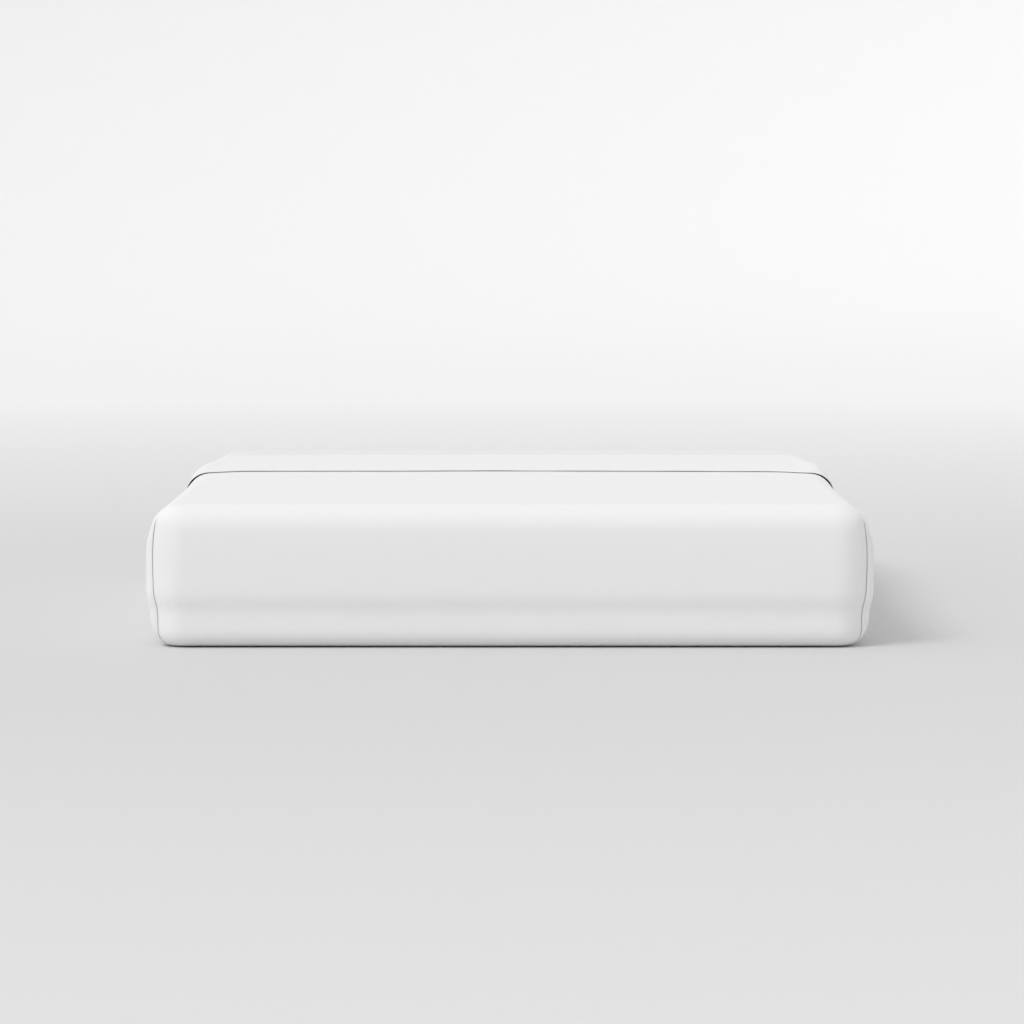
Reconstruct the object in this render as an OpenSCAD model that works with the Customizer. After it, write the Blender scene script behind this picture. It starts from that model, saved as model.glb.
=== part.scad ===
// Memory foam mattress dressed with one tucked flat sheet.
// Millimetres. +Z is up, the foot end faces -Y and the head end faces +Y.
// The origin is at floor level under the middle of the mattress.

/* [Mattress] */
// Overall width across the dressed sides
mattress_w = 1524; // [1200:1:2000]
// Overall length from foot to head
mattress_l = 2032; // [1900:1:2150]
// Overall height from the rest face to the turned-down cuff
mattress_h = 305; // [285:1:340]
// Radius of the four upright corners, seen from above
corner_r = 75; // [70:1:100]
// Radius of the long soft top edge
top_edge_r = 60; // [45:1:62]
// Radius of the bottom edge
bottom_edge_r = 36; // [30:1:40]
// How far the side draws in at the zip
waist_depth = 8.8; // [7.5:0.1:10]

/* [Foam layers] */
// Thickness of the memory foam comfort layer
memory_t = 75; // [60:1:90]
// Thickness of the transition foam layer
transition_t = 50; // [35:1:60]

/* [Cover] */
// Thickness of the knitted cover
cover_t = 3; // [2.5:0.1:3.2]
// Height of the seam between the top panel and the border
top_seam_z = 226; // [190:1:230]
// Height of the seam between the bottom panel and the border
bottom_seam_z = 12; // [11:1:13]
// Diameter of the cord sewn into the two seams
seam_cord_d = 3; // [2.6:0.1:3.2]

/* [Zip] */
// Height of the middle of the zip
zip_z = 51; // [49:0.5:52]
// Slot between the upper and lower border that shows the zip
zip_slot = 10; // [9.6:0.1:10.4]
// Distance from the slider to the end of the straight head run, at either stop
slider_margin = 87; // [80:1:200]
// Length of the pull tab beyond its hinge pin
pull_l = 32; // [24:1:40]

/* [Flat sheet] */
// Solid thickness that stands for one layer of the sheet
sheet_t = 1.3; // [1.2:0.05:1.35]
// How far the sheet is tucked under each side
side_tuck = 76; // [60:1:100]
// How far the sheet is tucked under the foot
foot_tuck = 88; // [60:1:110]
// Distance from the head end to the fold of the cuff
cuff_fold = 394; // [300:1:450]
// Depth of the cuff that is turned down towards the foot
cuff_depth = 560; // [450:1:620]
// Tighter top edge of the cuff, which stands off the layer below
cuff_edge_r = 42; // [36:1:60]
// Sweep of the side flap round each foot corner, from the side
flap_angle = 27; // [25:1:60]
// Height of the top of the flap's free edge
flap_top_z = 278; // [240:1:284]
// Length of the doubled flap along the side
flap_run = 150; // [100:1:250]

/* [Hidden] */

// Clear gaps: between neighbouring skins, and beside a sewn-in cord
layer_gap = 0.2;
inner_gap = 0.3;
seam_gap = 0.3;
// How far a cutting shape runs past what it cuts
overrun = 1;

// Distances inward from the outermost surface to each skin
lap_in = 0.2;
sheet_in = 1.5;
cover_in = sheet_in + sheet_t + layer_gap;
tape_in = cover_in + cover_t + inner_gap;
tape_t = 0.8;
sleeve_in = tape_in + tape_t + inner_gap;
sleeve_t = 0.8;
foam_in = sleeve_in + sleeve_t + inner_gap;

// Straight runs between the upright corners, measured from the middle
run_x = mattress_w / 2 - corner_r;
run_y = mattress_l / 2 - corner_r;
fold_y = mattress_l / 2 - cuff_fold;
hem_y = fold_y - cuff_depth;

// Heights of the foam layers, from the bottom up
core_z = foam_in;
memory_top_z = mattress_h - foam_in;
transition_top_z = memory_top_z - memory_t;
core_top_z = transition_top_z - transition_t;

// Arcs of the side's outline: belly, draw-in, return to the waist
belly_low_z = 122;
belly_high_z = 170;
draw_in_r = 100;
return_r = 80;
draw_angle = acos(1 - waist_depth / (draw_in_r + return_r));
return_z = belly_low_z - (draw_in_r + return_r) * sin(draw_angle);
shoulder_angle = 4.4;

// Zip: half the gap between the coils, coil height and depth
coil_gap = 0.7;
coil_h = 3;
coil_t = 3;
coil_in = cover_in + layer_gap / 2;
zip_face_y = mattress_l / 2 - waist_depth;

// Edges of each zip tape, from the middle of the zip
tape_near = 2;
tape_far = 14;

// Slider and pull, measured outward from the face of the zip
slider_l = 13;
slider_w = 9;
plate_t = 1.6;
plate_gap = 0.4;
plate_y = zip_face_y - coil_in + plate_gap;
crown_w = 2.6;
crown_l = 9;
crown_gap = 2.6;
crown_t = 1.2;
crown_y = plate_y + plate_t;
pin_r = 0.8;
pin_y = crown_y + crown_gap / 2;
pull_w = 8;
pull_t = 1.5;

slider_x = run_x - slider_margin;

// Zip ends, their pocket and the label, from the ends of the straight head run
stop_margin = 39;
stop_x = run_x - stop_margin;
garage_margin = 45;
garage_x = run_x - garage_margin;
garage_l = 34;
label_margin = 167;
label_x = label_margin - run_x;
label_w = 58;
label_h = 84;
label_t = 0.7;
label_top_z = 176;

// Points of an arc as [inward, height]; 0 degrees faces outward, 90 faces up.
// An arc that carries on from another one leaves out its first point.
function arc_points(centre, r, from, to, steps, first = 0) =
    [for (i = [first:steps])
        let (a = from + (to - from) * i / steps)
        [centre.x - r * cos(a), centre.y + r * sin(a)]];

// Arcs that bulge outward shrink with the inset; the hollow one grows
function top_edge(inset, r, join) =
    arc_points([join + r * cos(shoulder_angle), mattress_h - r],
        r - inset, shoulder_angle, 90, 8, 1);
function belly_top(inset, shoulder_r) =
    arc_points([shoulder_r, belly_high_z], shoulder_r - inset,
        0, shoulder_angle, 2);
function draw_in(inset) =
    arc_points([draw_in_r, belly_low_z], draw_in_r - inset,
        -draw_angle, 0, 3, 1);
function waist_return(inset) =
    arc_points([waist_depth - return_r, return_z], -(return_r + inset),
        0, -draw_angle, 3);
function bottom_edge(inset) =
    arc_points([waist_depth + bottom_edge_r, bottom_edge_r],
        bottom_edge_r - inset, -90, 0, 5);

// Outline of the side from bottom to top as [inward, height], parallel to
// the outermost surface and `inset` inside it
function side_outline(inset, edge_r = top_edge_r) =
    let (rise = mattress_h - edge_r * (1 - sin(shoulder_angle)))
    let (shoulder_r = (rise - belly_high_z) / sin(shoulder_angle))
    let (join = shoulder_r * (1 - cos(shoulder_angle)))
    concat(bottom_edge(inset), waist_return(inset), draw_in(inset),
        belly_top(inset, shoulder_r), top_edge(inset, edge_r, join));

// The same outline as [outward from the corner's axis, height]
function edge_line(inset, edge_r = top_edge_r) =
    [for (p = side_outline(inset, edge_r)) [corner_r - p.x, p.y]];

function reversed(points) = [for (i = [len(points) - 1:-1:0]) points[i]];

// Outward distance of the surface at a given height
function reach_at(z, inset) =
    lookup(z, [for (p = edge_line(inset)) [p.y, p.x]]);

// Filled half section out to the surface
module filled_section(inset) {
    line = edge_line(inset);
    polygon(concat([[0, inset]], line, [[0, mattress_h - inset]]));
}

// Section of a skin between two insets. It runs in from the bottom edge to
// `low_in` and from the top edge to the corner's axis.
module skin_section(inset, thickness, low_in = 0, edge_r = top_edge_r) {
    outer = edge_line(inset, edge_r);
    inner = reversed(edge_line(inset + thickness));
    top = mattress_h - inset;
    polygon(concat([[low_in, inset]], outer, [[0, top]],
        [[0, mattress_h - inset - thickness]], inner,
        [[low_in, inset + thickness]]));
}

// The part of a section between two heights
module between(low, high) {
    intersection() {
        children();
        translate([-2 * corner_r, low])
            square([4 * corner_r, high - low]);
    }
}

// A section carried straight along the right side, from y0 to y1
module side_run(y0, y1) {
    translate([run_x, y1, 0])
        rotate([90, 0, 0])
            linear_extrude(y1 - y0)
                children();
}

module both_side_runs(y0, y1) {
    side_run(y0, y1)
        children();
    mirror([1, 0, 0])
        side_run(y0, y1)
            children();
}

// A section carried across the head end
module head_run() {
    translate([-run_x, run_y, 0])
        rotate([90, 0, 90])
            linear_extrude(2 * run_x)
                children();
}

// A section turned round the upright corner at the head's right
module head_corner(angle = 90) {
    translate([run_x, run_y, 0])
        rotate_extrude(angle = angle)
            children();
}

module head_half() {
    head_run()
        children();
    head_corner()
        children();
    mirror([1, 0, 0])
        head_corner()
            children();
}

module foot_half() {
    mirror([0, 1, 0])
        head_half()
            children();
}

// A section carried all the way round the mattress
module all_round() {
    head_half()
        children();
    foot_half()
        children();
    both_side_runs(-run_y, run_y)
        children();
}

// Flat middle between the four corner axes
module middle_slab(low, high) {
    translate([-run_x, -run_y, low])
        cube([2 * run_x, 2 * run_y, high - low]);
}

// A block of foam that follows the outline between two heights
module foam_block(low, high) {
    all_round()
        between(low, high)
            filled_section(foam_in);
    middle_slab(low, high);
}

module memory_foam_layer() {
    color("lightcyan")
        foam_block(transition_top_z, memory_top_z);
}

module transition_foam_layer() {
    color("lightsteelblue")
        foam_block(core_top_z, transition_top_z);
}

module support_foam_core() {
    color("gainsboro")
        foam_block(core_z, core_top_z);
}

// Knitted fire barrier: an open tube closed by a sewn piece at each end
module fire_sleeve_tube() {
    color("ivory") {
        both_side_runs(-run_y, run_y)
            skin_section(sleeve_in, sleeve_t);
        middle_slab(mattress_h - sleeve_in - sleeve_t, mattress_h - sleeve_in);
        middle_slab(sleeve_in, sleeve_in + sleeve_t);
    }
}

module fire_sleeve_head_end() {
    color("beige")
        head_half()
            skin_section(sleeve_in, sleeve_t);
}

module fire_sleeve_foot_end() {
    color("beige")
        foot_half()
            skin_section(sleeve_in, sleeve_t);
}

// Top panel of the cover, wrapping over the top edge to its seam
module cover_top_panel() {
    color("white") {
        all_round()
            between(top_seam_z + seam_cord_d / 2 + seam_gap, mattress_h)
                skin_section(cover_in, cover_t);
        middle_slab(mattress_h - cover_in - cover_t, mattress_h - cover_in);
    }
}

module cover_upper_border() {
    color("whitesmoke")
        all_round()
            between(zip_z + zip_slot / 2, top_seam_z - seam_cord_d / 2 - seam_gap)
                skin_section(cover_in, cover_t);
}

module cover_lower_border() {
    color("whitesmoke")
        all_round()
            between(bottom_seam_z + seam_cord_d / 2 + seam_gap, zip_z - zip_slot / 2)
                skin_section(cover_in, cover_t);
}

// Bottom panel; its middle reaches the floor, and its margin stays higher
// by the room that the tucked sheet takes
module cover_bottom_panel() {
    margin = 10;
    pad_x = run_x + corner_r - tuck_start() - side_tuck - margin;
    pad_foot_y = foot_tuck + margin - run_y - corner_r + tuck_start();
    color("gainsboro") {
        all_round()
            between(0, bottom_seam_z - seam_cord_d / 2 - seam_gap)
                skin_section(cover_in, cover_t);
        middle_slab(cover_in, cover_in + cover_t);
        translate([-pad_x, pad_foot_y, 0])
            cube([2 * pad_x, run_y - pad_foot_y, cover_in]);
    }
}

// A cord sewn into the seam at a given height
module seam_cord(z) {
    all_round()
        translate([reach_at(z, cover_in + cover_t / 2), z])
            circle(d = seam_cord_d, $fn = 24);
}

module top_seam_cord() {
    color("white")
        seam_cord(top_seam_z);
}

module bottom_seam_cord() {
    color("white")
        seam_cord(bottom_seam_z);
}

// Flat tape behind a border edge
module zip_tape(low, high) {
    all_round()
        between(low, high)
            skin_section(tape_in, tape_t);
}

module zip_upper_tape() {
    color("gray")
        zip_tape(zip_z + tape_near, zip_z + tape_far);
}

module zip_lower_tape() {
    color("gray")
        zip_tape(zip_z - tape_far, zip_z - tape_near);
}

// One side of the zip's coil, open at the end stops
module zip_coil(low) {
    opening_l = 12;
    difference() {
        all_round()
            between(low, low + coil_h)
                skin_section(coil_in, coil_t);
        translate([stop_x - opening_l / 2, run_y, low - overrun])
            cube([opening_l, corner_r, coil_h + 2 * overrun]);
    }
}

module zip_upper_coil() {
    color("dimgray")
        zip_coil(zip_z + coil_gap);
}

module zip_lower_coil() {
    color("dimgray")
        zip_coil(zip_z - coil_gap - coil_h);
}

module zip_end_stops() {
    stop_l = 3;
    stop_h = 2 * (coil_gap + coil_h);
    apart = 4;
    color("silver")
        for (x = [stop_x - apart, stop_x + apart])
            translate([x - stop_l / 2, zip_face_y - coil_in - coil_t,
                    zip_z - stop_h / 2])
                cube([stop_l, coil_t, stop_h]);
}

// Small sewn pocket over the end of the zip, open towards the slider
module zip_garage() {
    wall = 0.8;
    garage_h = 22;
    garage_d = 8.4;
    back_y = zip_face_y - cover_in;
    color("whitesmoke")
        translate([garage_x, back_y, zip_z - garage_h / 2])
            difference() {
                cube([garage_l, garage_d, garage_h]);
                translate([-overrun, -overrun, wall])
                    cube([garage_l + overrun - wall, garage_d + overrun - wall,
                        garage_h - 2 * wall]);
            }
}

// Blank sewn-in label, hanging free below its stitched top edge
module care_label() {
    color("white")
        translate([label_x - label_w / 2, mattress_l / 2 - cover_in + layer_gap,
                label_top_z - label_h])
            cube([label_w, label_t, label_h]);
}

// Single layer over the foot and sides, tucked under three edges
module sheet_main_layer() {
    top_z = mattress_h - sheet_in;
    foot_half()
        skin_section(sheet_in, sheet_t);
    mirror([0, 1, 0])
        head_run()
            tuck_section(foot_tuck);
    both_side_runs(-run_y, fold_y)
        skin_section(sheet_in, sheet_t, corner_r - tuck_start() - side_tuck);
    translate([-run_x, -run_y, top_z - sheet_t])
        cube([2 * run_x, fold_y + run_y, sheet_t]);
}

// Inward distance at which the underside becomes flat
function tuck_start() = waist_depth + bottom_edge_r;

// The flat strip of a tuck, from the corner's axis inward
module tuck_section(depth) {
    low_in = corner_r - tuck_start() - depth;
    translate([low_in, sheet_in])
        square([-low_in, sheet_t]);
}

// The doubled cuff, with its fuller top edge
module sheet_cuff() {
    cuff_t = sheet_in + sheet_t / 2 - lap_in;
    both_side_runs(hem_y, fold_y)
        skin_section(lap_in, cuff_t, corner_r - tuck_start() - side_tuck,
            cuff_edge_r);
    translate([-run_x, hem_y, mattress_h - lap_in - cuff_t])
        cube([2 * run_x, fold_y - hem_y, cuff_t]);
}

// The side's cloth folded round a foot corner, over the foot's cloth
module sheet_flap() {
    mirror([0, 1, 0]) {
        head_corner(flap_angle)
            flap_section();
        side_run(run_y - flap_run, run_y)
            flap_section();
    }
}

module flap_section() {
    between(bottom_edge_r, flap_top_z)
        skin_section(lap_in, sheet_in + sheet_t / 2 - lap_in);
}

module flat_sheet() {
    color("snow") {
        sheet_main_layer();
        sheet_cuff();
        sheet_flap();
        mirror([1, 0, 0])
            sheet_flap();
    }
}

// Shield outline of the slider's front plate, pointed towards the shut end
module slider_outline() {
    end = slider_l / 2;
    shoulder = slider_w / 2;
    nose = slider_w * 0.3;
    taper_x = -0.5;
    cut = 0.8;
    half = [[-end, shoulder - cut], [cut - end, shoulder], [taper_x, shoulder],
        [end - cut, nose], [end, nose - cut]];
    polygon(concat(half, [for (p = reversed(half)) [p.x, -p.y]]));
}

// Front plate, a web through the gap between the coils, and a back plate
module slider_body() {
    web_l = 6;
    web_t = 0.8;
    back_l = 10;
    back_w = 2.8;
    back_t = 0.7;
    back_y = zip_face_y - coil_in - coil_t - inner_gap - back_t;
    color("darkgray") {
        translate([slider_x, plate_y + plate_t, zip_z])
            rotate([90, 0, 0])
                linear_extrude(plate_t)
                    slider_outline();
        translate([slider_x - web_l / 2, back_y, zip_z - web_t / 2])
            cube([web_l, plate_y - back_y + plate_t / 2, web_t]);
        translate([slider_x - back_l / 2, back_y, zip_z - back_w / 2])
            cube([back_l, back_t, back_w]);
    }
}

// Bridge on the slider that the pull's pin passes under
module slider_crown() {
    color("darkgray")
        translate([slider_x - crown_l / 2, crown_y, zip_z - crown_w / 2])
            difference() {
                cube([crown_l, crown_gap + crown_t, crown_w]);
                translate([crown_t, -overrun, -overrun])
                    cube([crown_l - 2 * crown_t, crown_gap + overrun,
                        crown_w + 2 * overrun]);
            }
}

// Tab, two arms and the cross pin that it swings on
module pull_tab() {
    arm_gap = 0.6;
    arm_in = crown_w / 2 + arm_gap;
    arm_t = 1.4;
    arm_l = 7;
    grip_l = pull_l - arm_l + 1;
    hole_x = 4.5;
    hole_r = 2;
    low_y = pin_y - pull_t / 2;
    color("silver") {
        translate([slider_x, pin_y, zip_z - arm_in - arm_t])
            cylinder(r = pin_r, h = 2 * (arm_in + arm_t), $fn = 32);
        for (z = [zip_z + arm_in, zip_z - arm_in - arm_t])
            translate([slider_x - arm_l, low_y, z])
                cube([arm_l + pin_r, pull_t, arm_t]);
        translate([slider_x - pull_l, low_y, zip_z - pull_w / 2])
            difference() {
                cube([grip_l, pull_t, pull_w]);
                translate([hole_x, pull_t + overrun, pull_w / 2])
                    rotate([90, 0, 0])
                        cylinder(r = hole_r, h = pull_t + 2 * overrun, $fn = 32);
            }
    }
}

memory_foam_layer();
transition_foam_layer();
support_foam_core();
fire_sleeve_tube();
fire_sleeve_head_end();
fire_sleeve_foot_end();
cover_top_panel();
cover_upper_border();
cover_lower_border();
cover_bottom_panel();
top_seam_cord();
bottom_seam_cord();
zip_upper_tape();
zip_lower_tape();
zip_upper_coil();
zip_lower_coil();
zip_end_stops();
zip_garage();
care_label();
flat_sheet();
slider_body();
slider_crown();
pull_tab();
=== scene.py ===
"""Looks of the dressed memory foam mattress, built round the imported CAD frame.

Metres, +Z up, foot end at -Y, head end at +Y. Every cloth follows the outline of the
mattress's side, carried round its plan, the way the CAD skins do.
"""

import math

import bmesh
import bpy
import numpy as np
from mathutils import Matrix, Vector, noise


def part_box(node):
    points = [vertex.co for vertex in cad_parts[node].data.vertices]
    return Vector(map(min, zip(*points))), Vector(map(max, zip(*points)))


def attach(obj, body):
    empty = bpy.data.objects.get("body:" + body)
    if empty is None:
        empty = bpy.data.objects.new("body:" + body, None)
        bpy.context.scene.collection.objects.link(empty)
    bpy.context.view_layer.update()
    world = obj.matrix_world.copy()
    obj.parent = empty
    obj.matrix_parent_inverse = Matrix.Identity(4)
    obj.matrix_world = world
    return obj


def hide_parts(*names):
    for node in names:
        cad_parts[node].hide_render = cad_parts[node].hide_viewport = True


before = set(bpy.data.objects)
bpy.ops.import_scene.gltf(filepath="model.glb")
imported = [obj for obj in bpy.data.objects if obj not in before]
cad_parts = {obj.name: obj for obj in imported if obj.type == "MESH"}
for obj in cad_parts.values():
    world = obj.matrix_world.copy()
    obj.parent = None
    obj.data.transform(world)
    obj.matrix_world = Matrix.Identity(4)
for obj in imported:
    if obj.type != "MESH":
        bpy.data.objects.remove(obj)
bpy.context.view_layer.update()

# ---------------------------------------------------------------- dimensions
LAP = 0.0002  # the doubled cloth's distance inside the outermost surface
SHEET_IN = 0.0022  # middle of the sheet's thickness, inside the outermost surface
SHEET_T = 0.0007
HALF_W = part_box("flat_sheet")[1].x + LAP
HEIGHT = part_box("flat_sheet")[1].z + LAP
COVER_IN = HALF_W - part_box("cover_upper_border")[1].x
HALF_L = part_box("cover_upper_border")[1].y + COVER_IN
COVER_T = 0.003
FOLD_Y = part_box("flat_sheet")[1].y
CUFF_DEPTH = 0.560
HEM_Y = FOLD_Y - CUFF_DEPTH
SIDE_TUCK = 0.076
FOOT_TUCK = 0.088

# Outline of the side, as in the CAD source
CORNER_R = 0.075
TOP_EDGE_R = 0.060
BOTTOM_EDGE_R = 0.036
WAIST = 0.0088
BELLY_LOW, BELLY_HIGH = 0.122, 0.170
DRAW_IN_R, RETURN_R = 0.100, 0.080
SHOULDER = 4.4

RUN_X = HALF_W - CORNER_R
RUN_Y = HALF_L - CORNER_R
QUARTER = CORNER_R * math.pi / 2
LOOP = 4 * (RUN_X + RUN_Y + QUARTER)
FOOT_MIDDLE = QUARTER + RUN_X  # perimeter distance of the middle of the foot

# Pleat that each foot corner's spare cloth is folded into
FLAP_LINE = 0.0685  # how far out of the corner's axis the flap's edge hangs
FLAP_BOW = 0.005
FLAP_WIDEST = 0.19  # height where it hangs furthest out
FLAP_LOW, FLAP_HIGH = 0.11, 0.265  # heights beyond which it runs straight
FLAP_BELLY = 0.0125
FLAP_ROLL = 0.024  # width of the soft roll that ends in the flap's edge
FLAP_UNDER = 0.0012
FLAP_LIP = 0.0012
HOOD = 0.0022  # how proud the cloth stands above the top of the pleat
FAN_LIFT = 0.0026
SLACK_LIFT = 0.0065
PLEAT_REACH = 0.20
PLEAT_TOP_Z = (0.278, 0.258)
PLEAT_DEPTH = 0.13
PLEAT_START, PLEAT_SLOPE = 0.012, 0.55  # its depth at the top, and how fast that grows
PLEAT_LIFT = 0.0030  # least the side stands off beside the flap
FLAP_TURN = 0.0020  # how far back the cloth runs as it turns under the flap's edge
HANG_Z = (0.004, 0.060)  # heights between which the cloth comes off the tuck

# Unevenness that foam and cloth share
CROWN = 0.0025
DIP, RIPPLE = 0.0011, 0.0003
WELD = 1e-5  # points of a cloth nearer than this become one

# Cuff and hem
FOLD_R = 0.0026
CUFF_STAND = 0.0028
CUFF_PUFF = 0.0095
CUFF_HANG = 0.0035
CUFF_SPACING = 0.045
SHOULDER_LIFT = 0.0034
HEM_DEPTH = 0.038
HEM_R = 0.0008
HEM_LIP, HEM_WAVE = 0.0009, 0.0006  # how proud the hem's edge stands, and its wave
PRESSED = 0.0016  # the tucked cuff's distance below the layer it lies on
HEM_SWEEP = 0.062  # how much nearer the foot the hem lies at the sides


# -------------------------------------------------------------------- helpers
def placed(name, data):
    """A new object in the scene."""
    made = bpy.data.objects.new(name, data)
    bpy.context.scene.collection.objects.link(made)
    return made


def from_bmesh(name, bm):
    """A finished bmesh as a smooth object in the scene."""
    mesh = bpy.data.meshes.new(name)
    bm.to_mesh(mesh)
    bm.free()
    mesh.shade_smooth()
    return placed(name, mesh)


def together(*values):
    """Coordinates, each a number or an array, as one array of points."""
    return np.stack(np.broadcast_arrays(*values), axis=-1)


def noises(*axes):
    """Noise from -1 to 1 at each of some places."""
    places = together(*axes)
    found = [noise.noise(Vector(p)) for p in places.reshape(-1, 3)]
    return np.array(found).reshape(places.shape[:-1])


def unit(vectors):
    return vectors / np.linalg.norm(vectors, axis=1)[:, None]


def circle(steps):
    """Even angles once round."""
    return np.linspace(0, 2 * math.pi, steps, endpoint=False)


def smooth(x, start, stop):
    """0 before start, 1 after stop, and an even turn between them."""
    t = np.clip((np.asarray(x, float) - start) / (stop - start), 0, 1)
    return t * t * (3 - 2 * t)


def along(points):
    """Distance along a line of points, at each point."""
    steps = np.linalg.norm(np.diff(points, axis=0), axis=1)
    return np.concatenate([[0], np.cumsum(steps)])


def read_at(points, at):
    """The line of points, read at distances `at` along it."""
    s = along(points)
    return np.column_stack([np.interp(at, s, column) for column in points.T])


def distinct(points):
    """The points without those that repeat the one before."""
    keep = np.linalg.norm(np.diff(points, axis=0), axis=1) > 1e-7
    return points[np.concatenate([[True], keep])]


# ------------------------------------------------------------ outline of side
def arc(centre, r, start, stop, steps=12):
    """Points of an arc as (outward, height); 0 degrees faces outward, 90 up."""
    a = np.radians(np.linspace(start, stop, steps + 1))
    return np.column_stack([centre[0] + r * np.cos(a), centre[1] + r * np.sin(a)])


def outline(inset, tuck=0.0):
    """The side's outline from the top's inner end over the edge and down to the
    bottom, as (outward from the corner's axis, height), `inset` inside the surface."""
    draw = math.degrees(math.acos(1 - WAIST / (DRAW_IN_R + RETURN_R)))
    return_z = BELLY_LOW - (DRAW_IN_R + RETURN_R) * math.sin(math.radians(draw))
    lean = math.radians(SHOULDER)
    rise = HEIGHT - TOP_EDGE_R * (1 - math.sin(lean))
    shoulder_r = (rise - BELLY_HIGH) / math.sin(lean)
    top_c = CORNER_R - shoulder_r * (1 - math.cos(lean)) - TOP_EDGE_R * math.cos(lean)
    waist = CORNER_R - WAIST
    hollow = arc((waist + RETURN_R, return_z), RETURN_R + inset, 180 - draw, 180, 8)
    bends = [
        arc((top_c, HEIGHT - TOP_EDGE_R), TOP_EDGE_R - inset, 90, SHOULDER, 24),
        arc((CORNER_R - shoulder_r, BELLY_HIGH), shoulder_r - inset, SHOULDER, 0, 6),
        arc((CORNER_R - DRAW_IN_R, BELLY_LOW), DRAW_IN_R - inset, 0, -draw, 8),
        hollow,
        arc((waist - BOTTOM_EDGE_R, BOTTOM_EDGE_R), BOTTOM_EDGE_R - inset, 0, -90, 16),
    ]
    return distinct(np.vstack([[(0, HEIGHT - inset)], *bends, [(-tuck, inset)]]))


def stations(points, spacing):
    """Points at even spacing along the outline, and their outward normals."""
    end = along(points)[-1]
    at = np.linspace(0, end, max(2, round(end / spacing) + 1))
    reach = spacing * 0.6
    t = unit(read_at(points, at + reach) - read_at(points, at - reach))
    return read_at(points, at), np.column_stack([-t[:, 1], t[:, 0]])


def between(points, low, high):
    """The stretch of a top-to-bottom outline between two heights."""
    s = along(points)
    at = np.interp([-high, -low], -points[:, 1], s)
    inner = points[(s > at[0] + 1e-6) & (s < at[1] - 1e-6)]
    first, last = read_at(points, at)
    return np.vstack([[first], inner, [last]])


def reach_at(height, inset):
    """How far out of the corner's axis the side reaches at a height."""
    line = outline(inset)
    return np.interp(-height, -line[:, 1], line[:, 0])


# ------------------------------------------------------------- plan perimeter
def around(a):
    """Where perimeter distance `a` is: the axis point that the side's outline turns
    about, and its outward direction. 0 is where the right side meets the foot corner,
    and it grows round the foot, up the left side and round the head."""
    a = np.mod(np.asarray(a, float), LOOP)
    cuts = np.cumsum([0, QUARTER, 2 * RUN_X, QUARTER, 2 * RUN_Y, QUARTER, 2 * RUN_X])
    cuts = np.append(cuts, cuts[-1] + QUARTER)
    leg = np.searchsorted(cuts, a, side="right") - 1
    t = a - cuts[leg]
    turn = np.array([0, -90, -90, -180, -180, -270, -270, -360])[leg]
    corner = leg % 2 == 0
    angle = np.radians(turn - np.where(corner, np.degrees(t / CORNER_R), 0))
    start_x = np.array([1, 1, -1, -1, -1, -1, 1, 1])[leg] * RUN_X
    start_y = np.array([-1, -1, -1, -1, 1, 1, 1, 1])[leg] * RUN_Y
    go_x = np.array([0, -1, 0, 0, 0, 1, 0, 0])[leg]
    go_y = np.array([0, 0, 0, 1, 0, 0, 0, -1])[leg]
    return start_x + go_x * t, start_y + go_y * t, np.cos(angle), np.sin(angle)


def carry(a, place, normal, offset=0.0):
    """The outline's points carried to perimeter distances `a`, moved out by `offset`.
    `a` and `offset` are one number for each column and row."""
    x, y, c, s = around(a)
    u = place[:, 0] + offset * normal[:, 0]
    z = place[:, 1] + offset * normal[:, 1]
    return together(x + u * c, y + u * s, z)


# ------------------------------------------------------------- shape of cloth
def lie(points):
    """Small unevenness that foam and cloth share, added to points in place."""
    flat = points.reshape(-1, 3)
    x, y, z = flat.T
    inner = (1 - (x / HALF_W) ** 4) * (1 - (y / HALF_L) ** 4)
    flat[:, 2] += CROWN * inner * smooth(z, 0.10, 0.30)
    dips = np.array([noise.noise(Vector(p) * 2.3) for p in flat])
    ripples = np.array([noise.noise(Vector(p) * 7.0 + Vector((5, 1, 3))) for p in flat])
    out = np.column_stack([smooth(np.abs(x), 0.60, 0.75) * np.sign(x),
                           smooth(np.abs(y), 0.86, 1.0) * np.sign(y),
                           smooth(z, 0.24, 0.30)])
    above = smooth(z, 0.058, 0.12)[:, None]
    flat += out * above * (DIP * dips + RIPPLE * ripples)[:, None]
    return points


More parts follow.
